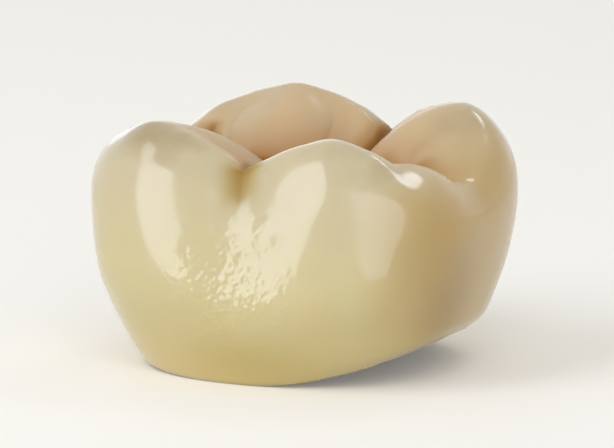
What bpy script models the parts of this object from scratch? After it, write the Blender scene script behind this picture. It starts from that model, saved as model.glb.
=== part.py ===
"""Ceramic crown for a lower left first molar, a hollow cap of one piece.

The crown stands on its margin, the rim that meets the tooth. +X runs from mesial, the front of
the mouth, to distal. +Y runs from the cheek side, buccal, to the tongue side, lingual. +Z points
up through the chewing surface. The origin is the middle of the footprint, at the lowest point.

The form is built as a technician waxes a crown up. A wall outline gives the sides, a skeleton
of ridges between the cusp tips gives the chewing surface, and where the two meet the edge is
rounded over. The hollow is the prepared tooth that the crown is cemented to: a chamfer at the
margin, walls that lean in, and a ceiling that rises under the cusps.

Sizes are in millimetres, and angles in degrees.
"""

import math
from collections import namedtuple

import bpy
import numpy as np

MM = 0.001

# Full length and width at the widest part, and the height that this belly lies at on each side
CROWN_LENGTH = 11.35
CROWN_WIDTH = 10.55
BELLY_HEIGHT_MESIAL = 5.5
BELLY_HEIGHT_DISTAL = 4.9
BELLY_HEIGHT_BUCCAL = 2.7
BELLY_HEIGHT_LINGUAL = 3.8

# Half-lengths of the neck, where the crown ends on the tooth
NECK_MESIAL = 4.40
NECK_DISTAL = 4.45
NECK_BUCCAL = 4.35
NECK_LINGUAL = 4.20

# Half-lengths of the wall outline at the height of the cusp tips
TABLE_HEIGHT = 7.2
TABLE_MESIAL = 4.80
TABLE_DISTAL = 5.15
TABLE_BUCCAL = 3.65
TABLE_LINGUAL = 4.10

# How the wall curves in below the belly: 1 is straight, and more keeps it full for longer
BELLY_ARCH = 1.45

# How square the outline is: 2 is an ellipse
NECK_SQUARENESS = 2.3
BELLY_SQUARENESS = 3.1
# Share by which the lingual side is shorter than the middle, and the distal side narrower
LINGUAL_TAPER = 0.03
DISTAL_TAPER = 0.03

# The margin is lowest at the cheek and the tongue, and rises between the teeth
MARGIN_RISE_MESIAL = 0.15
MARGIN_RISE_DISTAL = 1.00

# The chewing surface: roundings of its rim, ridges and valleys, and how far a ridge arches
CREST_ROUNDING = 1.1
RIDGE_ROUNDING = 0.60
VALLEY_ROUNDING = 0.10
RIDGE_ARCH = 2.2
FOSSA_FLOOR = 5.20
# Rise of the floor from the middle to the crown's widest part, towards the cheek and the tongue
FLOOR_RISE = 2.2

# The hollow
SHOULDER_WIDTH = 0.85
LIP_WIDTH = 0.25
CHAMFER_HEIGHT = 0.55
WALL_LEAN = 6.0
OCCLUSAL_THICKNESS = 1.10
CEILING_RISE_SIDES = 0.50
CEILING_RISE_ENDS = 0.15
CEILING_FILLET = 0.60
SEAT_HALF_LENGTH = 1.7
SEAT_HALF_WIDTH = 0.9
SEAT_SQUARENESS = 3.0

# The mesh: columns run round the crown, and rings go over it and up the inside
GRID_HALF = 18
COLUMNS = 8 * GRID_HALF
CREST_RINGS = 9
WALL_RINGS = 10
CHAMFER_RINGS = 3
AXIAL_RINGS = 2
FILLET_RINGS = 3
CEILING_RINGS = 3
# Surface points are found by halving, along lines that leave this core inside the body
CORE_HEIGHT = FOSSA_FLOOR - OCCLUSAL_THICKNESS / 2.0
CORE_SHARE = 0.60
HALVINGS = 40
SHARP_ANGLE = 40.0

# A ridge falls from its line on both sides by slope millimetres per millimetre
Ridge = namedtuple("Ridge", "start end slope")
# A cusp has a tip, a shoulder each way along the rim and a foot near the middle of the tooth
Cusp = namedtuple("Cusp", "tip mesial distal foot")
# A groove runs down the wall from an angle round the crown at the top to another at its lowest height,
# where it has faded out
Groove = namedtuple("Groove", "top foot depth width lowest")

CUSPS = {
    "mesiobuccal": Cusp((-3.5, -2.9, 6.9), (-4.6, -2.2, 6.6), (-1.1, -3.4, 6.45), (-0.9, -0.75, 5.6)),
    "distobuccal": Cusp((2.25, -3.15, 6.8), (0.4, -3.5, 6.5), (3.15, -2.95, 6.6), (0.95, -0.8, 5.55)),
    "distal": Cusp((4.1, -2.1, 6.05), (3.7, -2.75, 6.2), (4.8, -0.7, 5.5), (2.8, -0.6, 5.5)),
    "mesiolingual": Cusp((-1.9, 3.2, 7.3), (-3.9, 2.6, 6.7), (0.0, 3.4, 6.92), (-0.7, 0.7, 5.6)),
    "distolingual": Cusp((3.75, 2.85, 7.2), (2.25, 3.3, 6.9), (5.0, 1.9, 6.4), (1.4, 0.75, 5.55)),
}
RIM_SLOPE = 1.15
FOOT_SLOPE = 0.65
MARGINAL_SLOPE = 0.75
MESIAL_MARGINAL_RIDGE = (-4.85, 0.2, 6.0)
DISTAL_MARGINAL_RIDGE = (4.95, 0.6, 5.6)

WALL_GROOVES = (
    Groove(top=-100.0, foot=-72.0, depth=1.20, width=1.00, lowest=2.2),
    Groove(top=-47.0, foot=-52.0, depth=0.30, width=0.80, lowest=3.4),
    Groove(top=75.0, foot=75.0, depth=1.00, width=0.75, lowest=3.4),
)


def ridges():
    """The skeleton of the chewing surface: three ridges from each cusp tip, and the two marginal ridges."""
    found = []
    for cusp in CUSPS.values():
        found.append(Ridge(cusp.tip, cusp.mesial, RIM_SLOPE))
        found.append(Ridge(cusp.tip, cusp.distal, RIM_SLOPE))
        found.append(Ridge(cusp.tip, cusp.foot, FOOT_SLOPE))
    for middle, first, second in (
        (MESIAL_MARGINAL_RIDGE, CUSPS["mesiobuccal"].mesial, CUSPS["mesiolingual"].mesial),
        (DISTAL_MARGINAL_RIDGE, CUSPS["distal"].distal, CUSPS["distolingual"].distal),
    ):
        found.append(Ridge(first, middle, MARGINAL_SLOPE))
        found.append(Ridge(middle, second, MARGINAL_SLOPE))
    return found


def ridge_height(ridge, x, y):
    """Height of one ridge over the points x, y."""
    ax, ay, az = ridge.start
    bx, by, bz = ridge.end
    dx, dy = bx - ax, by - ay
    along = np.clip(((x - ax) * dx + (y - ay) * dy) / (dx * dx + dy * dy), 0.0, 1.0)
    aside = np.hypot(x - ax - along * dx, y - ay - along * dy)
    rounded = np.hypot(aside, RIDGE_ROUNDING) - RIDGE_ROUNDING
    return az + along**RIDGE_ARCH * (bz - az) - ridge.slope * rounded


def chewing_height(x, y):
    """Height of the chewing surface: the highest of the ridges and the bowl of the floor, blended."""
    heights = [ridge_height(ridge, x, y) for ridge in ridges()]
    heights.append(FOSSA_FLOOR + FLOOR_RISE * (2.0 * y / CROWN_WIDTH) ** 2)
    highest = np.max(heights, axis=0)
    total = sum(np.exp((height - highest) / VALLEY_ROUNDING) for height in heights)
    return highest + VALLEY_ROUNDING * np.log(total)


def reach(z, neck, belly, belly_height, table):
    """Half-length of one side at height z: out from the neck to the belly, then in to the table."""
    below = np.clip((belly_height - z) / belly_height, 0.0, None)
    above = np.clip((z - belly_height) / (TABLE_HEIGHT - belly_height), 0.0, None)
    return belly - (belly - neck) * below**BELLY_ARCH - (belly - table) * above**2


def oval(angle, mesial, distal, buccal, lingual, squareness):
    """Radius of a rounded outline with its own half-length to each of the four sides."""
    cos, sin = np.cos(angle), np.sin(angle)
    length = np.where(cos < 0.0, mesial, distal) * (1.0 - LINGUAL_TAPER * sin)
    width = np.where(sin < 0.0, buccal, lingual) * (1.0 - DISTAL_TAPER * cos)
    return (np.abs(cos / length) ** squareness + np.abs(sin / width) ** squareness) ** (-1.0 / squareness)


def wall_radius(angle, z):
    """Radius of the outer wall at height z, with the grooves between the cusps."""
    rise = np.clip(z / BELLY_HEIGHT_BUCCAL, 0.0, 1.0)
    radius = oval(
        angle,
        reach(z, NECK_MESIAL, CROWN_LENGTH / 2.0, BELLY_HEIGHT_MESIAL, TABLE_MESIAL),
        reach(z, NECK_DISTAL, CROWN_LENGTH / 2.0, BELLY_HEIGHT_DISTAL, TABLE_DISTAL),
        reach(z, NECK_BUCCAL, CROWN_WIDTH / 2.0, BELLY_HEIGHT_BUCCAL, TABLE_BUCCAL),
        reach(z, NECK_LINGUAL, CROWN_WIDTH / 2.0, BELLY_HEIGHT_LINGUAL, TABLE_LINGUAL),
        NECK_SQUARENESS + (BELLY_SQUARENESS - NECK_SQUARENESS) * rise,
    )
    for groove in WALL_GROOVES:
        fade = np.clip((z - groove.lowest) / (TABLE_HEIGHT - groove.lowest), 0.0, 1.0)
        middle = np.radians(groove.foot + (groove.top - groove.foot) * fade)
        turn = np.angle(np.exp(1j * (angle - middle)))
        aside = turn * radius / groove.width
        radius = radius - groove.depth * fade * np.exp(1.0 - np.hypot(aside, 1.0))
    return radius


def neck_radius(angle):
    """Radius of the crown's edge at the margin, which has no grooves."""
    return oval(angle, NECK_MESIAL, NECK_DISTAL, NECK_BUCCAL, NECK_LINGUAL, NECK_SQUARENESS)


def margin_height(angle):
    """Height of the margin: level with the ground at the cheek and the tongue."""
    rise = np.where(np.cos(angle) < 0.0, MARGIN_RISE_MESIAL, MARGIN_RISE_DISTAL)
    return rise * np.cos(angle) ** 2


def depth_inside(points):
    """Above zero inside the body, zero on its surface, with the crest rounded where wall and bite meet."""
    x, y, z = points.T
    under = chewing_height(x, y) - z
    within = wall_radius(np.arctan2(y, x), z) - np.hypot(x, y)
    overlap = np.clip(CREST_ROUNDING - np.abs(under - within), 0.0, None)
    return np.minimum(under, within) - overlap**2 / (4.0 * CREST_ROUNDING)


def on_surface(starts, directions):
    """The points where lines from inside the body come out, found by halving."""
    near = np.zeros(len(starts))
    far = np.full(len(starts), 2.0 * TABLE_HEIGHT)
    for _ in range(HALVINGS):
        middle = (near + far) / 2.0
        inside = depth_inside(starts + middle[:, None] * directions) > 0.0
        near = np.where(inside, middle, near)
        far = np.where(inside, far, middle)
    return starts + near[:, None] * directions


def ring(radius, angle, z):
    """Points round the crown, one for each column."""
    return np.stack([radius * np.cos(angle), radius * np.sin(angle), z + 0.0 * angle], axis=1)


def cap_grid():
    """The chewing surface as a square grid bent to the outline: its points, and the index of each."""
    index = {}
    flat = []
    for row in range(-GRID_HALF, GRID_HALF + 1):
        for column in range(-GRID_HALF, GRID_HALF + 1):
            size = max(abs(row), abs(column))
            if size == 0:
                angle = 0.0
            elif abs(column) >= abs(row):
                angle = math.pi / 4 * row / column + (math.pi if column < 0 else 0.0)
            else:
                angle = math.pi / 2 - math.pi / 4 * column / row + (math.pi if row < 0 else 0.0)
            index[row, column] = len(flat)
            flat.append((angle, size / GRID_HALF))
    angle, share = np.array(flat).T
    radius = share * CORE_SHARE * wall_radius(angle, np.full_like(angle, CORE_HEIGHT))
    starts = ring(radius, angle, CORE_HEIGHT)
    return on_surface(starts, np.tile([0.0, 0.0, 1.0], (len(starts), 1))), index


def cap_border():
    """The grid's border squares in the order of the columns."""
    half = GRID_HALF
    side = range(-half, half)
    border = [(row, half) for row in side]
    border += [(half, -column) for column in side]
    border += [(-row, -half) for row in side]
    border += [(-half, column) for column in side]
    return border[half:] + border[:half]


def outer_rings(angle):
    """Over the crest and down the wall to the margin."""
    core = CORE_SHARE * wall_radius(angle, np.full_like(angle, CORE_HEIGHT))
    starts = ring(core, angle, CORE_HEIGHT)
    outward = ring(1.0, angle, 0.0)
    upward = np.array([0.0, 0.0, 1.0])
    rings = []
    for tilt in np.linspace(0.0, math.pi / 2, CREST_RINGS + 1)[1:]:
        rings.append(on_surface(starts, math.sin(tilt) * outward + math.cos(tilt) * upward))
    margin = margin_height(angle)
    for share in np.linspace(0.0, 1.0, WALL_RINGS + 1)[1:-1]:
        height = CORE_HEIGHT + (margin - CORE_HEIGHT) * share
        rings.append(on_surface(ring(0.0, angle, height), outward))
    rings.append(ring(neck_radius(angle), angle, margin))
    return rings


def hollow_rings(angle):
    """In under the lip, up the chamfer and the leaning walls, and across the ceiling to the seat."""
    neck, margin = neck_radius(angle), margin_height(angle)
    rings = [ring(neck - LIP_WIDTH, angle, margin)]
    for turn in np.linspace(0.0, math.pi / 2, CHAMFER_RINGS + 1)[1:]:
        radius = neck - LIP_WIDTH - (SHOULDER_WIDTH - LIP_WIDTH) * math.sin(turn)
        rings.append(ring(radius, angle, margin + CHAMFER_HEIGHT * (1.0 - math.cos(turn))))
    seat_height = FOSSA_FLOOR - OCCLUSAL_THICKNESS
    rise = CEILING_RISE_ENDS * np.cos(angle) ** 2 + CEILING_RISE_SIDES * np.sin(angle) ** 2
    foot = margin + CHAMFER_HEIGHT
    top = seat_height + rise - CEILING_FILLET
    lean = math.tan(math.radians(WALL_LEAN))
    inner = neck - SHOULDER_WIDTH
    for share in np.linspace(0.0, 1.0, AXIAL_RINGS + 1)[1:]:
        height = foot + (top - foot) * share
        rings.append(ring(inner - lean * (height - foot), angle, height))
    inner = inner - lean * (top - foot)
    for turn in np.linspace(0.0, math.pi / 2, FILLET_RINGS + 1)[1:]:
        radius = inner - CEILING_FILLET * (1.0 - math.cos(turn))
        rings.append(ring(radius, angle, top + CEILING_FILLET * math.sin(turn)))
    inner = inner - CEILING_FILLET
    length, width = SEAT_HALF_LENGTH, SEAT_HALF_WIDTH
    seat = oval(angle, length, length, width, width, SEAT_SQUARENESS)
    for share in np.linspace(0.0, 1.0, CEILING_RINGS + 1)[1:]:
        rings.append(ring(inner + (seat - inner) * share, angle, seat_height + rise * (1.0 - share)))
    return rings


def crown_mesh():
    """One closed skin: the grid of the chewing surface, then ring after ring to the seat of the hollow."""
    cap, index = cap_grid()
    faces = []
    for row in range(-GRID_HALF, GRID_HALF):
        for column in range(-GRID_HALF, GRID_HALF):
            corners = ((row, column), (row, column + 1), (row + 1, column + 1), (row + 1, column))
            faces.append([index[corner] for corner in corners])
    points = [cap]
    last = [index[square] for square in cap_border()]
    count = len(cap)
    angle = np.arange(COLUMNS) * 2.0 * math.pi / COLUMNS
    for new_ring in outer_rings(angle) + hollow_rings(angle):
        new = list(range(count, count + COLUMNS))
        for i in range(COLUMNS):
            j = (i + 1) % COLUMNS
            faces.append([last[i], new[i], new[j], last[j]])
        points.append(new_ring)
        last = new
        count += COLUMNS
    faces.append(last[::-1])
    points = np.concatenate(points)
    low, high = points.min(axis=0), points.max(axis=0)
    points -= [(low[0] + high[0]) / 2.0, (low[1] + high[1]) / 2.0, low[2]]
    mesh = bpy.data.meshes.new("crown")
    mesh.from_pydata((points * MM).tolist(), [], faces)
    mesh.shade_smooth()
    mesh.set_sharp_from_angle(angle=math.radians(SHARP_ANGLE))
    return mesh


def glazed_ceramic():
    """Tooth-coloured glass ceramic under a fired glaze."""
    material = bpy.data.materials.new("glazed_ceramic")
    material.use_nodes = True
    surface = material.node_tree.nodes["Principled BSDF"]
    surface.inputs["Base Color"].default_value = (0.66, 0.54, 0.33, 1.0)
    surface.inputs["Roughness"].default_value = 0.18
    surface.inputs["Metallic"].default_value = 0.0
    surface.inputs["IOR"].default_value = 1.53
    material.diffuse_color = (0.66, 0.54, 0.33, 1.0)
    return material


def main():
    for obj in list(bpy.data.objects):
        bpy.data.objects.remove(obj)
    collection = bpy.data.collections.new("ceramic_dental_crown")
    bpy.context.scene.collection.children.link(collection)
    crown = bpy.data.objects.new("crown", crown_mesh())
    crown.data.materials.append(glazed_ceramic())
    collection.objects.link(crown)


main()
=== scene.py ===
# %% [markdown]
# Ceramic crown for a lower left first molar.
#
# The real crown is pressed or milled from a tooth-coloured glass ceramic. A technician then paints
# warm stains into its grooves and fires a thin clear glaze over it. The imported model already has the
# true form and size, so this lesson adds what a technician's hand adds: the fissures, the slightly
# uneven glaze, the colours, and a matt inside that was etched for the cement.

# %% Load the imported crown
import math

import bmesh
import bpy
import numpy as np
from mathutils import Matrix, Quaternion, Vector
from mathutils.bvhtree import BVHTree


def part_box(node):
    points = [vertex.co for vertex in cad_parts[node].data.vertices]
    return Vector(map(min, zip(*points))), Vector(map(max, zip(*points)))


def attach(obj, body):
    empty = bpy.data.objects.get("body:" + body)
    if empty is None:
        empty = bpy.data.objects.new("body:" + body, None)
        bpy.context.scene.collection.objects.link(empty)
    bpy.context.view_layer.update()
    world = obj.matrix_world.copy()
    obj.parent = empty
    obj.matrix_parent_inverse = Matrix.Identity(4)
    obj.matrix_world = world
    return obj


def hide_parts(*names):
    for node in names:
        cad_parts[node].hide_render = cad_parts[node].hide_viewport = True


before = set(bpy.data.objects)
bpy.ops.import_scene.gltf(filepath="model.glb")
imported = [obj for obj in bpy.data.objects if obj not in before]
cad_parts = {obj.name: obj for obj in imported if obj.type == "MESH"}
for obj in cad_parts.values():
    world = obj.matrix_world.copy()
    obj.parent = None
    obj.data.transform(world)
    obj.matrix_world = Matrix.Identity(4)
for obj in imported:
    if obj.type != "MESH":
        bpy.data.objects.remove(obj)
MM = 0.001
low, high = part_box("crown")
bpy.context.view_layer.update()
print("crown, mm:", [round((high[i] - low[i]) / MM, 2) for i in range(3)])

# %% [markdown]
# Three helpers serve the whole file. The first turns a colour from the eye's scale (sRGB) to the linear
# one that a renderer works in. The second gives an input its value or its link. The third adds a node,
# sets its properties and plugs its inputs, so that each tree below reads from top to bottom.

# %% Helpers for colours and nodes
# A mix node has inputs of one name for each kind of data, so its two colours go by number
COLOUR_A = 6
COLOUR_B = 7


def linear(code):
    """An sRGB hex colour as linear red, green, blue and alpha."""
    shares = [int(code[i:i + 2], 16) / 255.0 for i in (1, 3, 5)]
    return [s / 12.92 if s <= 0.04045 else ((s + 0.055) / 1.055) ** 2.4 for s in shares] + [1.0]


def plug(tree, value, socket):
    """Sets an input to a value, or links it to a socket or to a node's first live output."""
    if isinstance(value, bpy.types.Node):
        value = next(output for output in value.outputs if output.enabled)
    if isinstance(value, bpy.types.NodeSocket):
        tree.links.new(value, socket)
    else:
        socket.default_value = value


def add(tree, kind, inputs=None, **settings):
    """Adds a node with these settings and inputs."""
    node = tree.nodes.new(kind)
    for name, value in settings.items():
        setattr(node, name, value)
    for name, value in (inputs or {}).items():
        plug(tree, value, node.inputs[name])
    return node


print("white is", linear("#ffffff"))

# %% [markdown]
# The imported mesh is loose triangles. Merged and paired into four-sided faces it becomes a cage that a
# subdivision surface can smooth. The flat seat inside becomes one face, so that it stays flat. The
# edges round the margin are creased, because a crown ends in a crisp lip that is thinner than a
# fingernail.

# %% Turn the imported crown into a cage
MERGE = 0.001 * MM
# How far down a face looks, from -1 to 1, to count as part of a flat
FLAT = 0.9999
PAIR_FACE_ANGLE = math.radians(60.0)
PAIR_SHAPE_ANGLE = math.radians(80.0)
CREASE_ANGLE = math.radians(35.0)
CREASE = 0.85


def cage_of(node):
    """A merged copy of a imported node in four-sided faces, with its sharp edges creased."""
    work = bmesh.new()
    work.from_mesh(node.data)
    bmesh.ops.remove_doubles(work, verts=work.verts, dist=MERGE)
    lowest = min((f.calc_center_median().z for f in work.faces if f.normal.z < -FLAT), default=0.0)
    seat = [f for f in work.faces if f.normal.z < -FLAT and f.calc_center_median().z > lowest + MM]
    bmesh.ops.dissolve_faces(work, faces=seat)
    triangles = [f for f in work.faces if len(f.verts) == 3]
    bmesh.ops.join_triangles(work, faces=triangles, angle_face_threshold=PAIR_FACE_ANGLE,
                             angle_shape_threshold=PAIR_SHAPE_ANGLE)
    crease = work.edges.layers.float.new("crease_edge")
    for edge in work.edges:
        if len(edge.link_faces) == 2 and edge.calc_face_angle() > CREASE_ANGLE:
            edge[crease] = CREASE
    mesh = bpy.data.meshes.new("cage")
    work.to_mesh(mesh)
    work.free()
    return mesh


cage = cage_of(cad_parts["crown"])
corners = [len(face.vertices) for face in cage.polygons]
print("cage:", len(corners), "faces, of which", corners.count(4), "have four sides, largest", max(corners))

# %% [markdown]
# Fissures lie where the surface is lowest, because they are the seams between the lobes that a molar
# grows from. Each one starts as a few points given on the chewing surface. Two of them run
# out over the rim in a soft trough, and faint side grooves part a cusp's middle ridge from the slopes
# beside it.

# %% List the grooves
# Name: points in millimetres, then width and depth in millimetres at the middle, and the share of both
# that is left at each end
FISSURES = {
    "central_mesial": (
        [(-3.5, 0.3, 6), (-2.4, 0.2, 6), (-1.2, 0.1, 6), (-0.1, -0.1, 6)], 0.30, 0.20, 0.8, 1.0),
    "central_distal": (
        [(-0.1, -0.1, 6), (1.2, 0.1, 6), (2.4, -0.1, 6), (3.8, -0.3, 6)], 0.30, 0.20, 1.0, 0.8),
    "buccal": (
        [(-0.1, -0.1, 6), (0.0, -1.4, 6), (-0.1, -2.6, 6), (-0.3, -3.4, 6)], 0.30, 0.19, 1.0, 0.55),
    "distobuccal": (
        [(2.3, -0.1, 6), (2.8, -1.1, 6), (3.2, -2.0, 6), (3.5, -2.7, 6)], 0.22, 0.12, 0.9, 0.1),
    "lingual": (
        [(0.3, 0.0, 6), (0.7, 1.3, 6), (1.1, 2.5, 6), (1.1, 3.5, 6)], 0.28, 0.19, 1.0, 0.9),
    "mesial_fossa_buccal": (
        [(-3.4, 0.3, 6), (-3.8, -0.5, 6), (-4.0, -1.3, 6)], 0.22, 0.14, 0.9, 0.1),
    "mesial_fossa_lingual": (
        [(-3.4, 0.3, 6), (-3.7, 1.1, 6), (-3.8, 1.9, 6)], 0.22, 0.14, 0.9, 0.1),
    "distal_fossa_buccal": (
        [(3.7, -0.3, 6), (4.0, -0.8, 6), (4.3, -1.2, 6)], 0.20, 0.12, 0.9, 0.1),
}
WALL_TROUGHS = {
    "buccal_wall": (
        [(-0.3, -3.3, 6), (-0.25, -3.9, 5.7), (-0.05, -4.35, 5.05)], 0.42, 0.01, 2.2, 0.1),
    "lingual_wall": (
        [(1.1, 3.5, 6), (1.1, 4.3, 5.4), (1.2, 4.9, 4.4)], 0.50, 0.08, 1.0, 0.2),
}
SIDE_GROOVES = {
    "mesiobuccal_front": (
        [(-2.5, 0.2, 6), (-2.8, -0.8, 6), (-3.1, -1.8, 6.5)], 0.26, 0.04, 0.8, 0.0),
    "mesiobuccal_back": (
        [(-0.1, -1.2, 6), (-0.9, -1.8, 6), (-1.7, -2.8, 6.5)], 0.26, 0.04, 0.8, 0.0),
    "distobuccal_front": (
        [(0.0, -1.2, 6), (0.8, -1.9, 6), (1.3, -2.8, 6.5)], 0.26, 0.04, 0.8, 0.0),
    "mesiolingual_front": (
        [(-2.6, 0.2, 6), (-2.9, 1.2, 6), (-3.0, 2.2, 6.5)], 0.26, 0.04, 0.8, 0.0),
    "mesiolingual_back": (
        [(0.4, 0.9, 6), (-0.3, 1.6, 6), (-0.6, 2.6, 6.5)], 0.26, 0.04, 0.8, 0.0),
    "distolingual_front": (
        [(0.9, 1.4, 6), (1.8, 1.6, 6), (2.5, 2.2, 6.5)], 0.26, 0.04, 0.8, 0.0),
    "distolingual_back": (
        [(3.0, 0.0, 6), (3.2, 0.9, 6), (3.7, 1.7, 6.5)], 0.30, 0.015, 0.8, 0.0),
}
# Each table with its share of the brown line stain and of the gold stain beside it
GROOVES = ((FISSURES, 1.0, 1.0), (WALL_TROUGHS, 0.34, 0.85), (SIDE_GROOVES, 0.10, 0.15))
print("grooves:", [len(table) for table, _, _ in GROOVES])

# %% [markdown]
# Listed points miss the bottom of a valley by a little. So a smooth curve through them is
# dropped onto the crown, and then each of its points slides sideways, within a fraction of a
# millimetre, to the lowest place there. A slide costs a little, which keeps the line from jumping into
# the next valley.

# %% Find the bottom of each valley
SPACING = 0.12 * MM
# How far a point slides to either side, and in how many steps it looks
SIDE_REACH = 0.40 * MM
SIDE_STEPS = 17
# A slide over the whole reach has to gain 0.024 mm of depth
SIDE_STIFFNESS = 150.0
DROP = 1.0 * MM
# The facing at a point is the mean of the facings within this distance
NEAR = 0.6 * MM
SMOOTHINGS = 4

skin = BVHTree.FromPolygons([v.co for v in cage.vertices], [tuple(f.vertices) for f in cage.polygons])
places = np.array([v.co for v in cage.vertices])
facings = np.array([v.normal for v in cage.vertices])


def spaced(points):
    """Evenly spaced points on a smooth (Catmull-Rom) curve through the given ones."""
    points = np.array(points) * MM
    ends = np.vstack([2 * points[0] - points[1], points, 2 * points[-1] - points[-2]])
    curve = []
    for a, b, c, d in zip(ends, ends[1:], ends[2:], ends[3:]):
        count = max(2, int(np.linalg.norm(c - b) / SPACING))
        for t in np.arange(count) / count:
            curve.append(0.5 * (2 * b + (c - a) * t + (2 * a - 5 * b + 4 * c - d) * t**2
                                + (3 * b - a - 3 * c + d) * t**3))
    return np.array(curve + [points[-1]])


def facing_at(point):
    """The crown's mean facing round a point."""
    close = np.linalg.norm(places - point, axis=1) < NEAR
    close[np.argmin(np.linalg.norm(places - point, axis=1))] = True
    mean = facings[close].mean(axis=0)
    return mean / np.linalg.norm(mean)


def dropped(point, facing):
    """Where a line along the facing meets the crown from outside."""
    hit = skin.ray_cast(Vector(point + facing * DROP), Vector(-facing), 3.0 * DROP)[0]
    return np.array(hit if hit is not None else skin.find_nearest(Vector(point))[0])


def settled(points):
    """The points laid on the crown and slid sideways to the bottom of their valley."""
    path = np.array([np.array(skin.find_nearest(Vector(p))[0]) for p in spaced(points)])
    along = np.gradient(path, axis=0)
    found = []
    for point, heading in zip(path, along):
        facing = facing_at(point)
        side = np.cross(facing, heading)
        side /= np.linalg.norm(side)
        costs = []
        for slide in np.linspace(-SIDE_REACH, SIDE_REACH, SIDE_STEPS):
            place = dropped(point + slide * side, facing)
            costs.append(((place - point) @ facing + SIDE_STIFFNESS * slide**2, slide, tuple(place)))
        found.append(min(costs)[2])
    path = np.array(found)
    for _ in range(SMOOTHINGS):
        path[1:-1] = (path[:-2] + 2 * path[1:-1] + path[2:]) / 4
    return np.array([np.array(skin.find_nearest(Vector(p))[0]) for p in path])


print("skin:", len(places), "points to slide on")

# %% [markdown]
# The shape tree reads the grooves from an object of bare edges, whose points carry the width, the depth
# and the shares of stain at their place. All four fade towards a groove's ends, because a real groove
# runs out and a brush is lifted slowly.

# %% Lay the fissures along the valleys
def helper(name, points, edges, values):
    """An object of bare points and edges that carries a number for each point and name."""
    mesh = bpy.data.meshes.new(name)
    mesh.from_pydata(points, edges, [])
    for key, numbers in values.items():
        mesh.attributes.new(key, "FLOAT", "POINT").data.foreach_set("value", numbers)
    made = bpy.data.objects.new(name, mesh)
    bpy.context.scene.collection.objects.link(made)
    return made


def groove_lines(tables):
    """One object of edges along every groove, with each point's width, depth and stains."""
    points, edges = [], []
    values = {"width": [], "depth": [], "brown": [], "gold": []}
    for table, brown, gold in tables:
        for line, width, depth, first, last in table.values():
            path = settled(line)
            edges += [(len(points) + i, len(points) + i + 1) for i in range(len(path) - 1)]
            points += [tuple(p) for p in path]
            middle = 1.0 - np.abs(np.linspace(-1.0, 1.0, len(path)))
            ends = np.linspace(first, last, len(path))
            share = ends + (1.0 - ends) * np.sqrt(middle)
            # The width fades half as much as the depth
            values["width"] += list(width * MM * (0.5 + 0.5 * share))
            values["depth"] += list(depth * MM * share)
            values["brown"] += list(brown * share)
            values["gold"] += list(gold * share)
    print(len(edges), "edges, deepest groove, mm:", round(max(values["depth"]) / MM, 2))
    return helper("groove_lines", points, edges, values)


grooves = groove_lines(GROOVES)

# %% [markdown]
# A gas bubble just under the surface, or a speck that the glaze ran over, leaves a tiny bump when the
# crown is fired. Each bead is one point with a radius and a height, which the tree raises as a dome, so
# that it catches its own spot of light.

# %% Beads of glaze
# Centre, radius and height in millimetres
BEADS = (((-0.6, -4.8, 4.40), 0.15, 0.03), ((3.4, -3.3, 6.20), 0.16, 0.03))


def bead_points():
    """One object of points on the crown, with each bead's radius and height."""
    points = [tuple(skin.find_nearest(Vector(place) * MM)[0]) for place, _, _ in BEADS]
    return helper("bead_points", points, [], {"radius": [radius * MM for _, radius, _ in BEADS],
                                              "height": [height * MM for _, _, height in BEADS]})


beads = bead_points()
print(len(BEADS), "beads")

# %% [markdown]
# Glazed glass ceramic, first its colours. The blank that a crown is made from has one shade all
# through, so the technician brushes stains on and fires them: yellow at the neck, greyer towards the
# cusps, tan on the chewing surface, gold beside the fissures and orange-brown in them. Some light and
# shade is painted into these colours as well. The neck is painted lighter, as if lit from below by a
# pale base, and the cusp tips, the deep fossa, the chewing surface and the distal end are partly
# painted shade. A ramp over the height gives the wall, and soft patches lie on it like strokes of the
# brush. Where the grooves and the chewing surface are comes as attributes from the shape tree further
# down.

# %% Stains, with painted light and shade
# Height from the margin to the tips as a share, and the shade there
# The lowest stops are painted light, lighter as if lit from a pale base below. The top stop at the cusp tips
# is darker, partly their greyer enamel and partly painted shade.
NECK_SHADES = ((0.0, "#d0ba7e"), (0.16, "#ccbb82"), (0.36, "#cdbe8a"), (0.60, "#c8b98c"),
               (0.82, "#c4b48d"), (1.0, "#ab976c"))
# Tan on the chewing surface: partly a stain, partly painted shade, strongest low between the cusps
CHEWING_TAN_AND_SHADE = "#caae84"
# Warmer and darker towards the distal end: partly a stain, partly painted shade on the side turned from the
# main lamp and towards the next tooth
DISTAL_STAIN_AND_SHADE = "#b8913f"
DISTAL_START = 3.4 * MM
DISTAL_END = 5.8 * MM
DISTAL_SHARE = 0.85
WALL_GOLD = "#ab8c3c"
CHEWING_GOLD = "#ab7d3e"
FISSURE_BROWN = "#8c5218"
# Soft patches, some stain and some partly painted shade: colour, centre and reach to each side in
# millimetres, and share at the centre
# The first wall patch is a gold stain at the neck. The second darkens the mesiobuccal cusp tip, partly its
# greyer enamel and partly painted shade.
WALL_PAINTS = (("#b8a04a", (0.6, -4.6, 0.7), (3.2, 3.0, 1.5), 0.5),
               ("#866c3c", (-4.6, -3.0, 7.2), (2.4, 2.4, 1.6), 0.6))
# Of the top patches, the first darkens the lower distal wall and the second the deep central fossa, each
# partly a stain and partly painted shade. The third is a stain in the lingual notch.
TOP_PAINTS = (("#8c6a2a", (5.6, -1.6, 2.2), (2.2, 2.6, 2.8), 0.55),
              ("#ab7034", (0.0, 0.6, 5.2), (5.8, 3.2, 1.8), 0.75),
              ("#96601f", (1.15, 3.5, 5.8), (0.9, 1.5, 0.9), 0.8))
# Soft clouds that shift the ramp up and down, so that no shade ends in a level line
CLOUD_SIZE = 1.8 * MM
CLOUD_SHIFT = 0.10
# Most values of a noise lie between these two
NOISE_LOW = 0.3
NOISE_HIGH = 0.7


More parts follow.
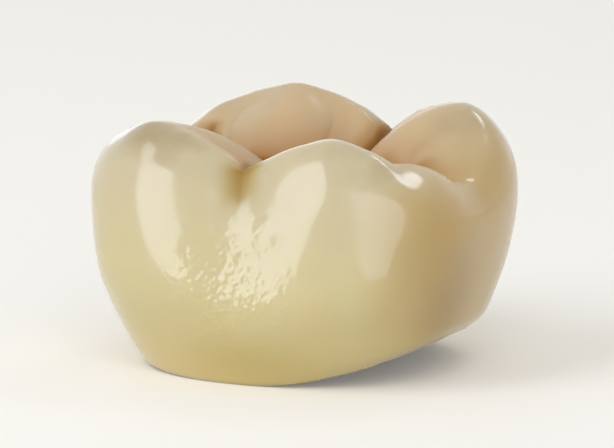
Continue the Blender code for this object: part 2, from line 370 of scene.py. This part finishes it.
def painted(tree, place, body, paints):
    """The body colour with each soft patch of a table laid over it, some of them partly painted shade."""
    for code, centre, reach, most in paints:
        aside = add(tree, "ShaderNodeVectorMath", {0: place, 1: Vector(centre) * MM}, operation="SUBTRACT")
        scaled = add(tree, "ShaderNodeVectorMath", {0: aside, 1: Vector(reach) * MM}, operation="DIVIDE")
        out = add(tree, "ShaderNodeVectorMath", {0: scaled}, operation="LENGTH").outputs["Value"]
        paint = add(tree, "ShaderNodeMapRange", {"Value": out, "To Min": most, "To Max": 0.0},
                    interpolation_type="SMOOTHSTEP")
        body = add(tree, "ShaderNodeMix", {"Factor": paint, COLOUR_A: body, COLOUR_B: linear(code)},
                   data_type="RGBA")
    return body


def wall_shades(tree, place, height):
    """The ramp from neck to cusps, shifted by soft clouds."""
    clouds = add(tree, "ShaderNodeTexNoise", {"Vector": place, "Scale": 1.0 / CLOUD_SIZE, "Detail": 3.0})
    shift = add(tree, "ShaderNodeMapRange", {"Value": clouds, "From Min": NOISE_LOW, "From Max": NOISE_HIGH,
                                             "To Min": -CLOUD_SHIFT, "To Max": CLOUD_SHIFT})
    share = add(tree, "ShaderNodeMapRange", {"Value": height, "From Min": low.z, "From Max": high.z})
    shifted = add(tree, "ShaderNodeMath", {0: share, 1: shift}, operation="ADD")
    shades = add(tree, "ShaderNodeValToRGB", {"Fac": shifted})
    ramp = shades.color_ramp.elements
    while len(ramp) < len(NECK_SHADES):
        ramp.new(0.5)
    for stop, (position, code) in zip(ramp, NECK_SHADES):
        stop.position = position
        stop.color = linear(code)
    return shades


def stained_body(tree, place, stored):
    """The body colour from the wall's shades to the brown in the fissures, in order of painting."""
    axes = add(tree, "ShaderNodeSeparateXYZ", {0: place}).outputs
    wall = painted(tree, place, wall_shades(tree, place, axes["Z"]), WALL_PAINTS)
    # The chewing surface turns tan, partly a stain and partly painted shade
    tan = add(tree, "ShaderNodeMix", {"Factor": stored["chewing"], COLOUR_A: wall,
                                      COLOUR_B: linear(CHEWING_TAN_AND_SHADE)}, data_type="RGBA")
    # Towards the distal end the colour is partly a stain and partly painted shade
    toward_distal = add(tree, "ShaderNodeMapRange", {"Value": axes["X"], "From Min": DISTAL_START,
                                                     "From Max": DISTAL_END, "To Max": DISTAL_SHARE},
                        interpolation_type="SMOOTHSTEP")
    distal = add(tree, "ShaderNodeMix", {"Factor": toward_distal, COLOUR_A: tan,
                                         COLOUR_B: linear(DISTAL_STAIN_AND_SHADE)}, data_type="RGBA")
    gold = add(tree, "ShaderNodeMix", {"Factor": stored["chewing"], COLOUR_A: linear(WALL_GOLD),
                                       COLOUR_B: linear(CHEWING_GOLD)}, data_type="RGBA")
    warm = add(tree, "ShaderNodeMix", {"Factor": stored["gold"], COLOUR_B: gold,
                                       COLOUR_A: painted(tree, place, distal, TOP_PAINTS)}, data_type="RGBA")
    return add(tree, "ShaderNodeMix", {"Factor": stored["brown"], COLOUR_A: warm,
                                       COLOUR_B: linear(FISSURE_BROWN)}, data_type="RGBA")


print("stains:", len(NECK_SHADES), "shades of the wall and", len(WALL_PAINTS + TOP_PAINTS), "strokes")

# %% [markdown]
# Then its surface. Light enters the ceramic, scatters for about half a millimetre and comes out warmer,
# so the body needs subsurface scattering as well as a colour. Under a glaze the body's own surface
# hardly mirrors, so its specular level is low. The clear glaze gives the highlights, which is what a
# coat layer is for: smooth on the walls, mottled like orange peel on one patch, where it was brushed on
# unevenly, thin on the chewing surface, and matt where a stain was fired into it.

# %% Glazed ceramic
# Shares of the glaze that are missing on the chewing surface and over a full stain, and the gold share
# that counts as full
BARE_CHEWING = 0.85
MATT_STAIN = 0.9
FULL_STAIN = 0.6
# Ripples of a brushed glaze, at their real size. Elsewhere only a trace of them is left.
PEEL_SIZE = 0.26 * MM
PEEL_HEIGHT = 0.080 * MM
PEEL_TRACE = 0.02
CERAMIC_IOR = 1.53
SCATTER_DEPTH = 0.7 * MM
# Red light travels furthest in the ceramic, blue least
SCATTER_SHARES = (1.0, 0.72, 0.42)
GLAZED_VALUES = {"Roughness": 0.45, "IOR": CERAMIC_IOR, "Specular IOR Level": 0.2,
                 "Subsurface Weight": 0.55, "Subsurface Radius": SCATTER_SHARES,
                 "Subsurface Scale": SCATTER_DEPTH, "Coat Roughness": 0.14, "Coat IOR": 1.6}


def blank_material(name):
    """A new material, its node tree and its shader."""
    material = bpy.data.materials.new(name)
    material.use_nodes = True
    return material, material.node_tree, material.node_tree.nodes["Principled BSDF"]


def glazed_ceramic():
    """Stained glass ceramic under a fired glaze."""
    material, tree, surface = blank_material("glazed_glass_ceramic")
    place = add(tree, "ShaderNodeTexCoord").outputs["Object"]
    stored = {name: add(tree, "ShaderNodeAttribute", attribute_name=name).outputs["Fac"]
              for name in ("chewing", "gold", "brown", "peel")}
    plug(tree, stained_body(tree, place, stored), surface.inputs["Base Color"])
    peel = add(tree, "ShaderNodeTexNoise", {"Vector": place, "Scale": 1.0 / PEEL_SIZE, "Detail": 1.0})
    depth = add(tree, "ShaderNodeMapRange", {"Value": stored["peel"], "To Min": PEEL_TRACE, "To Max": 1.0})
    height = add(tree, "ShaderNodeMath", {0: peel, 1: depth}, operation="MULTIPLY")
    bump = add(tree, "ShaderNodeBump", {"Height": height, "Distance": PEEL_HEIGHT, "Strength": 1.0})
    plug(tree, bump, surface.inputs["Normal"])
    plug(tree, bump, surface.inputs["Coat Normal"])
    thinned = add(tree, "ShaderNodeMapRange", {"Value": stored["chewing"], "To Min": 1.0,
                                               "To Max": 1.0 - BARE_CHEWING})
    open_glaze = add(tree, "ShaderNodeMapRange", {"Value": stored["gold"], "From Max": FULL_STAIN,
                                                  "To Min": 1.0, "To Max": 1.0 - MATT_STAIN})
    coat = add(tree, "ShaderNodeMath", {0: thinned, 1: open_glaze}, operation="MULTIPLY")
    plug(tree, coat, surface.inputs["Coat Weight"])
    for name, value in GLAZED_VALUES.items():
        plug(tree, value, surface.inputs[name])
    return material


glazed = glazed_ceramic()
print("material:", glazed.name, "with", len(glazed.node_tree.nodes), "nodes")

# %% [markdown]
# Etched ceramic. The inside was blasted with fine grit and etched with acid, so that the cement holds.
# It has no glaze, so it is matt, and it shows the paler body without any stain.

# %% Etched ceramic
ETCHED = "#d9cba8"
# Blasting grit is about 0.05 mm, drawn coarser so that it shows
BLAST_SIZE = 0.11 * MM
BLAST_HEIGHT = 0.012 * MM
BLAST_DARK = 0.92
BLAST_BRIGHT = 1.04
ETCHED_VALUES = {"Roughness": 0.72, "IOR": CERAMIC_IOR, "Subsurface Weight": 0.4,
                 "Subsurface Radius": SCATTER_SHARES, "Subsurface Scale": SCATTER_DEPTH}


def etched_ceramic():
    """Blasted and etched glass ceramic without glaze."""
    material, tree, surface = blank_material("etched_glass_ceramic")
    place = add(tree, "ShaderNodeTexCoord").outputs["Object"]
    blast = add(tree, "ShaderNodeTexNoise", {"Vector": place, "Scale": 1.0 / BLAST_SIZE, "Detail": 4.0})
    value = add(tree, "ShaderNodeMapRange", {"Value": blast, "From Min": NOISE_LOW, "From Max": NOISE_HIGH,
                                             "To Min": BLAST_DARK, "To Max": BLAST_BRIGHT})
    shade = add(tree, "ShaderNodeHueSaturation", {"Color": linear(ETCHED), "Value": value})
    plug(tree, shade, surface.inputs["Base Color"])
    bump = add(tree, "ShaderNodeBump", {"Height": blast, "Distance": BLAST_HEIGHT, "Strength": 1.0})
    plug(tree, bump, surface.inputs["Normal"])
    for name, value in ETCHED_VALUES.items():
        plug(tree, value, surface.inputs[name])
    return material


etched = etched_ceramic()
print("material:", etched.name, "with", len(etched.node_tree.nodes), "nodes")

# %% [markdown]
# The fine surface follows rules, so Geometry Nodes make it: smooth the cage, cut a V along every groove
# line, raise the beads, and add the waviness of a fired glaze. Nodes keep the sizes in one place as
# named inputs. The glazed wall also swells and dips a little, where a technician's burr passed. Those
# soft forms are too faint to see by their shade, but they steer the highlights.

# %% Inputs of the shape tree, and the swells
TREE_INPUTS = (
    ("Geometry", "NodeSocketGeometry", None),
    ("Grooves", "NodeSocketObject", None),
    ("Levels", "NodeSocketInt", 2),
    ("Beads", "NodeSocketObject", None),
    ("Gold Width", "NodeSocketFloat", 0.82 * MM),
    ("Wave Size", "NodeSocketFloat", 2.2 * MM),
    ("Wave Height", "NodeSocketFloat", 0.014 * MM),
    ("Dimple Size", "NodeSocketFloat", 0.27 * MM),
    ("Dimple Height", "NodeSocketFloat", 0.012 * MM),
    ("Dimple Place", "NodeSocketVector", (0.1 * MM, -5.0 * MM, 2.5 * MM)),
    ("Dimple Reach", "NodeSocketFloat", 2.8 * MM),
    ("Seed", "NodeSocketFloat", 4.0),
    ("Outside", "NodeSocketMaterial", None),
    ("Inside", "NodeSocketMaterial", None),
)
# Centre, reach and height in millimetres. Below zero is a hollow.
SWELLS = (
    ((1.1, -4.3, 2.5), 3.3, 0.105),
    ((-0.15, -5.2, 3.3), 1.7, -0.12),
    ((0.46, -4.53, 4.38), 1.02, 0.08),
    ((1.06, -4.66, 4.29), 0.72, 0.08),
    ((-3.22, -3.5, 6.6), 1.34, 0.13),
    ((4.44, -4.07, 2.7), 1.35, 0.095),
    ((4.49, -2.15, 6.18), 0.70, -0.044),
    ((-1.02, -4.99, 2.94), 0.86, 0.047),
    ((0.62, -5.1, 1.53), 1.44, 0.031),
    ((2.1, -5.17, 2.32), 1.36, 0.059),
    ((1.65, -4.17, 5.52), 1.15, -0.075),
)
print(len(TREE_INPUTS), "inputs and", len(SWELLS), "swells")

# %% [markdown]
# Two masks say which part of the crown a point belongs to. The hollow faces down, since its walls lean,
# and it never faces away from the middle. The chewing surface faces up or towards the middle, the more
# surely the lower it lies between the cusps.

# %% Masks for the hollow and the chewing surface
# Limits of the hollow's facing, from -1 to 1: upward, and away from the crown's middle
DOWNWARD = -0.02
AWAY = 0.5
# How much facing up counts beside leaning inward, and how much more it counts low between the cusps
UP_SHARE = 0.6
LOW_SHARE = 0.6
FOSSA_HEIGHT = 5.4 * MM
TIP_HEIGHT = 7.0 * MM
# The scores at which the chewing surface begins and is full
CHEWING_START = 0.35
CHEWING_FULL = 1.0


def hollow_mask(tree, up, outward):
    """True inside the crown."""
    down = add(tree, "FunctionNodeCompare", {"A": up, "B": DOWNWARD}, operation="LESS_THAN")
    inward = add(tree, "FunctionNodeCompare", {"A": outward, "B": AWAY}, operation="LESS_THAN")
    return add(tree, "FunctionNodeBooleanMath", {0: down, 1: inward}, operation="AND")


def chewing_mask(tree, height, up, outward):
    """From 0 on the walls to 1 on the chewing surface."""
    tilt = add(tree, "ShaderNodeMath", {0: up, 1: UP_SHARE, 2: 0.0}, operation="MULTIPLY_ADD")
    inner_slope = add(tree, "ShaderNodeMath", {0: tilt, 1: outward}, operation="SUBTRACT")
    below_tips = add(tree, "ShaderNodeMapRange", {"Value": height, "From Min": FOSSA_HEIGHT,
                                                  "From Max": TIP_HEIGHT, "To Min": LOW_SHARE, "To Max": 0.0})
    lowness = add(tree, "ShaderNodeMath", {0: below_tips, 1: up}, operation="MULTIPLY")
    score = add(tree, "ShaderNodeMath", {0: inner_slope, 1: lowness}, operation="ADD")
    return add(tree, "ShaderNodeMapRange", {"Value": score, "From Min": CHEWING_START,
                                            "From Max": CHEWING_FULL}, interpolation_type="SMOOTHSTEP")


print("chewing surface between", FOSSA_HEIGHT / MM, "and", TIP_HEIGHT / MM, "mm")

# %% [markdown]
# Each point of the crown asks for the nearest groove and the nearest bead: how far they are, and the
# numbers that they carry. A groove's profile falls from 1 on its line to 0 at its width, and a power
# above 1 makes it a narrow V, such as a fine burr leaves, and not a round channel.

# %% Read the grooves and beads
V_POWER = 1.8


def near_guides(tree, given):
    """The distance to the nearest groove and bead, and the numbers stored there."""
    near = {}
    for source, element, names in (("Grooves", "EDGES", ("width", "depth", "brown", "gold")),
                                   ("Beads", "POINTS", ("radius", "height"))):
        guide = add(tree, "GeometryNodeObjectInfo", {"Object": given[source]}).outputs["Geometry"]
        near[source] = add(tree, "GeometryNodeProximity", {0: guide},
                           target_element=element).outputs["Distance"]
        nearest = add(tree, "GeometryNodeSampleNearest", {0: guide})
        for name in names:
            value = add(tree, "GeometryNodeInputNamedAttribute", {"Name": name}, data_type="FLOAT")
            near[name] = add(tree, "GeometryNodeSampleIndex", {"Geometry": guide, "Value": value,
                                                               "Index": nearest},
                             data_type="FLOAT", domain="POINT")
    return near


def groove_profile(tree, near):
    """The V across a groove, from 1 on its line to 0 at its width."""
    share = add(tree, "ShaderNodeMath", {0: near["Grooves"], 1: near["width"]},
                operation="DIVIDE", use_clamp=True)
    left = add(tree, "ShaderNodeMath", {0: 1.0, 1: share}, operation="SUBTRACT")
    return add(tree, "ShaderNodeMath", {0: left, 1: V_POWER}, operation="POWER")


def bead_dome(tree, near):
    """A round cap over each bead, flat at the top and at the foot."""
    out = add(tree, "ShaderNodeMath", {0: near["Beads"], 1: near["radius"]},
              operation="DIVIDE", use_clamp=True)
    fall = add(tree, "ShaderNodeMath", {0: out, 1: out}, operation="MULTIPLY")
    cap = add(tree, "ShaderNodeMath", {0: 1.0, 1: fall}, operation="SUBTRACT")
    round_cap = add(tree, "ShaderNodeMath", {0: cap, 1: cap}, operation="MULTIPLY")
    return add(tree, "ShaderNodeMath", {0: round_cap, 1: near["height"]}, operation="MULTIPLY")


print("V profile at half its width:", round(0.5 ** V_POWER, 2))

# %% [markdown]
# The relief is a sum: the long waves of the glaze, fine dimples on the patch where it was brushed on
# unevenly, the beads, and the swells. Each noise is centred on zero, so it lifts the surface as often
# as it lowers it, and the crown keeps its size.

# %% Add up the relief
def glaze_relief(tree, given, place, patch, dome):
    """Waves, the dimples of the mottled patch, the beads and the swells, added up."""
    shifted = add(tree, "ShaderNodeVectorMath", {0: place, 1: given["Seed"]}, operation="ADD")
    waves = {}
    for name in ("Wave", "Dimple"):
        scale = add(tree, "ShaderNodeMath", {0: 1.0, 1: given[name + " Size"]}, operation="DIVIDE")
        noise = add(tree, "ShaderNodeTexNoise", {"Vector": shifted, "Scale": scale, "Detail": 1.0})
        centred = add(tree, "ShaderNodeMath", {0: noise, 1: 0.5}, operation="SUBTRACT")
        waves[name] = add(tree, "ShaderNodeMath", {0: centred, 1: given[name + " Height"]},
                          operation="MULTIPLY")
    dimples = add(tree, "ShaderNodeMath", {0: waves["Dimple"], 1: patch}, operation="MULTIPLY")
    wavy = add(tree, "ShaderNodeMath", {0: waves["Wave"], 1: dimples}, operation="ADD")
    raised = add(tree, "ShaderNodeMath", {0: wavy, 1: dome}, operation="ADD")
    for centre, reach, most in SWELLS:
        apart = add(tree, "ShaderNodeVectorMath", {0: place, 1: Vector(centre) * MM}, operation="DISTANCE")
        swell = add(tree, "ShaderNodeMapRange", {"Value": apart.outputs["Value"], "From Max": reach * MM,
                                                 "To Min": most * MM, "To Max": 0.0},
                    interpolation_type="SMOOTHSTEP")
        raised = add(tree, "ShaderNodeMath", {0: raised, 1: swell}, operation="ADD")
    return raised


print("swells and hollows, mm:", [swell[2] for swell in SWELLS])

# %% [markdown]
# The tree itself joins these parts. It moves each outside point along its facing, and stores where the
# stains and the mottled patch go, blurred along the surface as a fired stain spreads. The hollow isn't
# moved, because the cement needs its true form, and it gets the etched finish.

# %% The tree that carves the crown
# Rounds of blurring for each stored number
BLURS = {"chewing": 4, "gold": 6, "brown": 1, "peel": 0}


def carving_tree():
    """Smooths the cage, carves grooves and glaze relief, and stores where stains go."""
    tree = bpy.data.node_groups.new("carve_crown", "GeometryNodeTree")
    for name, kind, value in TREE_INPUTS:
        socket = tree.interface.new_socket(name, in_out="INPUT", socket_type=kind)
        if value is not None:
            socket.default_value = value
    tree.interface.new_socket("Geometry", in_out="OUTPUT", socket_type="NodeSocketGeometry")
    given = tree.nodes.new("NodeGroupInput").outputs
    crease = add(tree, "GeometryNodeInputNamedAttribute", {"Name": "crease_edge"}, data_type="FLOAT")
    smooth = add(tree, "GeometryNodeSubdivisionSurface",
                 {"Mesh": given["Geometry"], "Level": given["Levels"], "Edge Crease": crease})
    place = add(tree, "GeometryNodeInputPosition")
    facing = add(tree, "GeometryNodeInputNormal")
    up = add(tree, "ShaderNodeSeparateXYZ", {0: facing}).outputs["Z"]
    height = add(tree, "ShaderNodeSeparateXYZ", {0: place}).outputs["Z"]
    level = add(tree, "ShaderNodeVectorMath", {0: place, 1: (1.0, 1.0, 0.0)}, operation="MULTIPLY")
    away = add(tree, "ShaderNodeVectorMath", {0: level}, operation="NORMALIZE")
    outward = add(tree, "ShaderNodeVectorMath", {0: facing, 1: away},
                  operation="DOT_PRODUCT").outputs["Value"]
    hollow = hollow_mask(tree, up, outward)
    outside = add(tree, "FunctionNodeBooleanMath", {0: hollow}, operation="NOT")

    near = near_guides(tree, given)
    profile = groove_profile(tree, near)
    cut = add(tree, "ShaderNodeMath", {0: profile, 1: near["depth"]}, operation="MULTIPLY")
    apart = add(tree, "ShaderNodeVectorMath", {0: place, 1: given["Dimple Place"]}, operation="DISTANCE")
    patch = add(tree, "ShaderNodeMapRange", {"Value": apart.outputs["Value"],
                                             "From Max": given["Dimple Reach"], "To Min": 1.0, "To Max": 0.0},
                interpolation_type="SMOOTHSTEP")
    relief = glaze_relief(tree, given, place, patch, bead_dome(tree, near))
    rise = add(tree, "ShaderNodeMath", {0: relief, 1: cut}, operation="SUBTRACT")
    move = add(tree, "ShaderNodeVectorMath", {0: facing, "Scale": rise}, operation="SCALE")

    beside = add(tree, "ShaderNodeMapRange", {"Value": near["Grooves"], "From Max": given["Gold Width"],
                                              "To Min": 1.0, "To Max": 0.0}, interpolation_type="SMOOTHSTEP")
    shares = {
        "chewing": chewing_mask(tree, height, up, outward),
        "gold": add(tree, "ShaderNodeMath", {0: beside, 1: near["gold"]}, operation="MULTIPLY"),
        "brown": add(tree, "ShaderNodeMath", {0: profile, 1: near["brown"]}, operation="MULTIPLY"),
        "peel": patch,
    }
    stored = smooth
    for name, value in shares.items():
        blurred = add(tree, "GeometryNodeBlurAttribute", {"Value": value, "Iterations": BLURS[name]},
                      data_type="FLOAT")
        stored = add(tree, "GeometryNodeStoreNamedAttribute", {"Geometry": stored, "Name": name,
                                                               "Value": blurred},
                     data_type="FLOAT", domain="POINT")
    moved = add(tree, "GeometryNodeSetPosition", {"Geometry": stored, "Selection": outside, "Offset": move})
    shaded = add(tree, "GeometryNodeSetShadeSmooth", {"Geometry": moved})
    real = add(tree, "GeometryNodeRealizeInstances", {"Geometry": shaded})
    coated = add(tree, "GeometryNodeSetMaterial", {"Geometry": real, "Material": given["Outside"]})
    bared = add(tree, "GeometryNodeSetMaterial", {"Geometry": coated, "Selection": hollow,
                                                  "Material": given["Inside"]})
    add(tree, "NodeGroupOutput", {"Geometry": bared})
    return tree


tree = carving_tree()
print("tree:", tree.name, "with", len(tree.nodes), "nodes")

# %% [markdown]
# The tree runs once. Its result is copied into a plain mesh, so that the crown is real surface
# with nothing left to evaluate, and the working objects are removed.

# %% Carve the crown
SHARP_ANGLE = math.radians(50.0)


def carved(cage, tree, values):
    """A plain mesh from the cage, with the tree's inputs set by the names of their sockets."""
    blank = bpy.data.objects.new("crown_cage", cage)
    bpy.context.scene.collection.objects.link(blank)
    modifier = blank.modifiers.new("carve", "NODES")
    modifier.node_group = tree
    for socket in tree.interface.items_tree:
        if socket.in_out == "INPUT" and socket.name in values:
            modifier[socket.identifier] = values[socket.name]
    bpy.context.view_layer.update()
    result = bpy.data.meshes.new_from_object(blank.evaluated_get(bpy.context.evaluated_depsgraph_get()))
    bpy.data.objects.remove(blank)
    return result


mesh = carved(cage, tree, {"Grooves": grooves, "Beads": beads, "Outside": glazed, "Inside": etched})
for guide in (grooves, beads):
    bpy.data.objects.remove(guide)
mesh.name = "glazed_crown"
mesh.shade_smooth()
mesh.set_sharp_from_angle(angle=SHARP_ANGLE)
crown = bpy.data.objects.new("glazed_crown", mesh)
bpy.context.scene.collection.objects.link(crown)
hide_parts("crown")
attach(crown, "root")
mesh.calc_loop_triangles()
print("carved crown:", len(mesh.loop_triangles), "triangles, materials", [m.name for m in mesh.materials])

# %% [markdown]
# A pale floor catches the shadow and throws light back under the bulge. The backdrop is white to the
# camera and in reflections, but lights the crown gently.

# %% Floor and backdrop
WHITE = "#ffffff"
FLOOR_SHADE = "#f3eee3"
FLOOR_ROUGHNESS = 0.8
FLOOR_SIZE = 400.0 * MM
# Shown to the camera and in reflections alone, so the floor looks white without lighting the crown
FLOOR_LIFT = 0.13
BACKDROP_LIGHT = 0.51


def seen_by(tree, rays):
    """1 for a ray of one of the named kinds, else 0."""
    path = add(tree, "ShaderNodeLightPath").outputs
    seen = path[rays[0]]
    for ray in rays[1:]:
        seen = add(tree, "ShaderNodeMath", {0: seen, 1: path[ray]}, operation="MAXIMUM")
    return seen


def floor():
    """A pale plain floor under the margin."""
    material, tree, surface = blank_material("pale_floor")
    surface.inputs["Base Color"].default_value = linear(FLOOR_SHADE)
    surface.inputs["Roughness"].default_value = FLOOR_ROUGHNESS
    surface.inputs["Emission Color"].default_value = linear(WHITE)
    seen = seen_by(tree, ("Is Camera Ray", "Is Glossy Ray"))
    lift = add(tree, "ShaderNodeMath", {0: seen, 1: FLOOR_LIFT}, operation="MULTIPLY")
    plug(tree, lift, surface.inputs["Emission Strength"])
    half = FLOOR_SIZE / 2.0
    corners = [(-half, -half, 0.0), (half, -half, 0.0), (half, half, 0.0), (-half, half, 0.0)]
    mesh = bpy.data.meshes.new("floor")
    mesh.from_pydata(corners, [], [(0, 1, 2, 3)])
    mesh.materials.append(material)
    plane = bpy.data.objects.new("floor", mesh)
    bpy.context.scene.collection.objects.link(plane)
    return plane


floor()

world = bpy.data.worlds.new("studio")
bpy.context.scene.world = world
world.use_nodes = True
sky = world.node_tree
background = sky.nodes["Background"]
background.inputs["Color"].default_value = linear(WHITE)
seen = seen_by(sky, ("Is Camera Ray", "Is Glossy Ray", "Is Transmission Ray"))
shown = add(sky, "ShaderNodeMapRange", {"Value": seen, "To Min": BACKDROP_LIGHT, "To Max": 1.0})
plug(sky, shown, background.inputs["Strength"])
print("floor, mm:", FLOOR_SIZE / MM, "and backdrop light:", BACKDROP_LIGHT)

# %% [markdown]
# The highlights are the picture of the lamps in the glaze. A tall oval window on the left gives a narrow
# upright streak on each lobe, and a dimmer one on the right gives the broad pale band towards the
# distal end. A small lamp behind draws the bright spot on the rim, and a low fill from the far side
# keeps the shadows open.

# %% Soft studio light
TARGET = Vector((0.0, 0.0, 3.82 * MM))
DAYLIGHT = "#ebf2ff"


def direction(azimuth, elevation):
    """The way from the crown to a lamp or camera. Azimuth 0 is in front, and grows to the right."""
    a, e = math.radians(azimuth), math.radians(elevation)
    return Vector((math.sin(a) * math.cos(e), -math.cos(a) * math.cos(e), math.sin(e)))


def aimed(obj, azimuth, elevation, distance, roll=0.0):
    """Puts an object at a distance from the crown, looking at it."""
    way = direction(azimuth, elevation)
    turn = way.to_track_quat("Z", "Y") @ Quaternion((0.0, 0.0, 1.0), math.radians(roll))
    obj.location = TARGET + distance * way
    obj.rotation_euler = turn.to_euler()
    bpy.context.scene.collection.objects.link(obj)
    return obj


def softbox(name, azimuth, elevation, roll, distance, width, height, radiance):
    """An oval lamp of a given brightness, whatever its size."""
    lamp = bpy.data.lights.new(name, "AREA")
    lamp.shape = "ELLIPSE"
    lamp.size = width
    lamp.size_y = height
    lamp.color = linear(DAYLIGHT)[:3]
    # An oval's area is pi / 4 of its box, and each part of it shines pi times its brightness in all
    lamp.energy = radiance * math.pi * math.pi / 4.0 * width * height
    return aimed(bpy.data.objects.new(name, lamp), azimuth, elevation, distance, roll)


softbox("window", azimuth=-35.6, elevation=31.2, roll=12.0, distance=0.24,
        width=0.122, height=0.309, radiance=3.1)
softbox("front", azimuth=37.6, elevation=26.1, roll=21.5, distance=0.24,
        width=0.167, height=0.363, radiance=1.7)
softbox("back", azimuth=170.0, elevation=50.6, roll=-16.0, distance=0.30,
        width=0.100, height=0.041, radiance=5.0)
softbox("back_fill", azimuth=215.0, elevation=14.0, roll=0.0, distance=0.30,
        width=0.14, height=0.14, radiance=0.8)

# %% [markdown]
# The camera looks from the cheek side and a little from the back of the mouth, slightly above the
# chewing surface. A long lens gives the flat perspective of a close-up photograph.

# %% Camera
CAMERA_AZIMUTH = 26.0
CAMERA_ELEVATION = 10.0
CAMERA_DISTANCE = 137.0 * MM
# Both in millimetres, as Blender takes them
SENSOR_WIDTH = 36.0
LENS = 284.3

camera = bpy.data.cameras.new("camera")
camera.sensor_width = SENSOR_WIDTH
camera.lens = LENS
camera.clip_start = 1.0 * MM
eye = aimed(bpy.data.objects.new("camera", camera), CAMERA_AZIMUTH, CAMERA_ELEVATION, CAMERA_DISTANCE)
bpy.context.scene.camera = eye
bpy.context.scene.view_settings.view_transform = "Standard"
print("picture width at the crown, mm:", round(SENSOR_WIDTH * CAMERA_DISTANCE / LENS / MM, 1))
